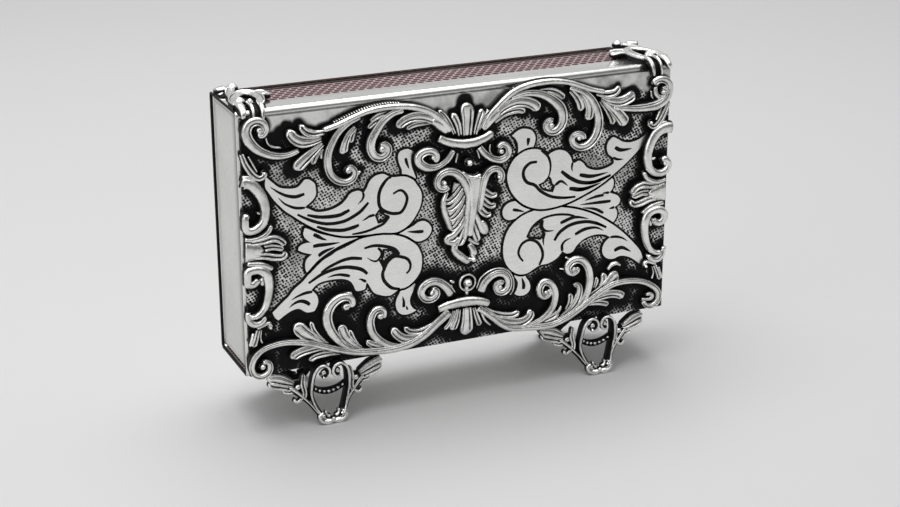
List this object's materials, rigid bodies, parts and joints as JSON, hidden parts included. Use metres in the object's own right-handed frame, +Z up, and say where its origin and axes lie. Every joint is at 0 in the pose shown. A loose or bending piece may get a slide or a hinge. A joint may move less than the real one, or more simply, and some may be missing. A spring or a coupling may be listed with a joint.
{
  "type": "matchbox case",
  "caption": "Silver case with scrollwork reliefs and openwork scroll feet that stands on its long edge and holds a household card matchbox with its sliding tray",
  "frame": {"origin": "middle of the case's length and depth, on the surface that the feet stand on", "axes": "X along the case and both slides, -Y to the ornamented front, Z up"},
  "size_m": [0.114, 0.0306, 0.0814],
  "materials": {
    "silver_sheet": "polished silver sheet with a soft grey tone",
    "cast_silver": "polished cast silver with black oxide in its recesses",
    "card": "smooth grey-white card",
    "striker": "maroon striking paper with a paler honeycomb print",
    "match_wood": "plain aspen splint with a dull red head"
  },
  "bodies": {
    "case": {"case_sleeve": "silver_sheet", "front_plate": "silver_sheet", "upper_frieze": "cast_silver", "lower_frieze": "cast_silver", "centre_drop": "cast_silver", "left_border": "cast_silver", "right_border": "cast_silver", "top_left_corner_mount": "cast_silver", "top_right_corner_mount": "cast_silver", "front_left_foot": "cast_silver", "front_right_foot": "cast_silver", "back_left_foot": "cast_silver", "back_right_foot": "cast_silver"},
    "matchbox": {"matchbox_sleeve": "card", "top_striker_strip": "striker", "bottom_striker_strip": "striker"},
    "tray": {"matchbox_tray": "card", "match_1": "match_wood", "match_2": "match_wood", "match_3": "match_wood", "match_4": "match_wood", "match_5": "match_wood", "match_6": "match_wood", "match_7": "match_wood", "match_8": "match_wood", "match_9": "match_wood"}
  },
  "joints": [
    {"name": "matchbox_slide", "type": "slide", "parent": "case", "child": "matchbox", "axis": [1, 0, 0], "range_m": [-0.1, 0.1]},
    {"name": "tray_slide", "type": "slide", "parent": "matchbox", "child": "tray", "axis": [1, 0, 0], "range_m": [-0.085, 0.085]}
  ]
}
